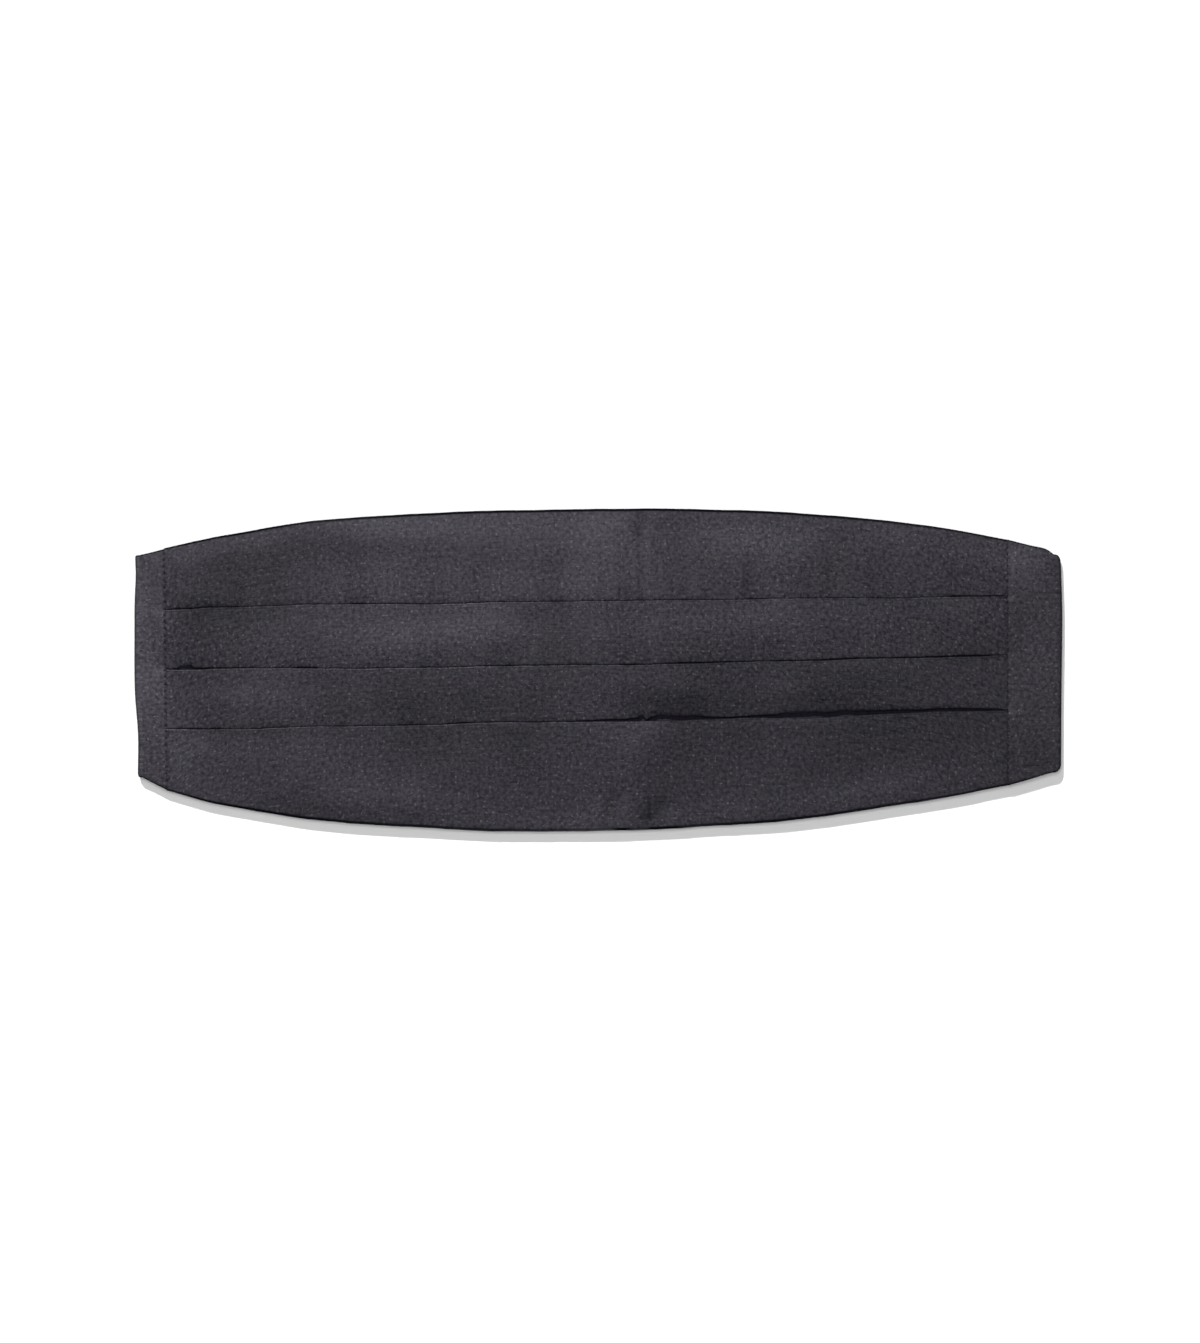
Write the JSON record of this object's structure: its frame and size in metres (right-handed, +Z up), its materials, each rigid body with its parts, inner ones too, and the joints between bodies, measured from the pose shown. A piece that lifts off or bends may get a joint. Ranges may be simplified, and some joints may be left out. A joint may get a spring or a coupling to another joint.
{
  "type": "cummerbund",
  "caption": "Pleated cloth waistband lying flat and face up, its plain end panels folded behind and fastened by straps and a flat hook clasp.",
  "frame": {"origin": "centre of the footprint, on the surface that the garment lies on", "axes": "+X along the front to the right as seen from above, +Y up the front towards the wearer's chest, +Z up off the surface"},
  "size_m": [0.3714, 0.1293, 0.0077],
  "materials": {
    "front_cloth": "charcoal woven satin with a fine slub and a soft sheen",
    "panel_cloth": "the same charcoal cloth, plain and unpleated",
    "strap_cloth": "plain dark ribbed band",
    "clasp_metal": "dark plated metal, satin"
  },
  "bodies": {
    "root": {"front_pleated": "front_cloth", "end_panel_left": "panel_cloth", "end_panel_right": "panel_cloth", "strap_left": "strap_cloth", "strap_right": "strap_cloth", "clasp_eye": "clasp_metal", "clasp_hook": "clasp_metal"}
  },
  "joints": []
}
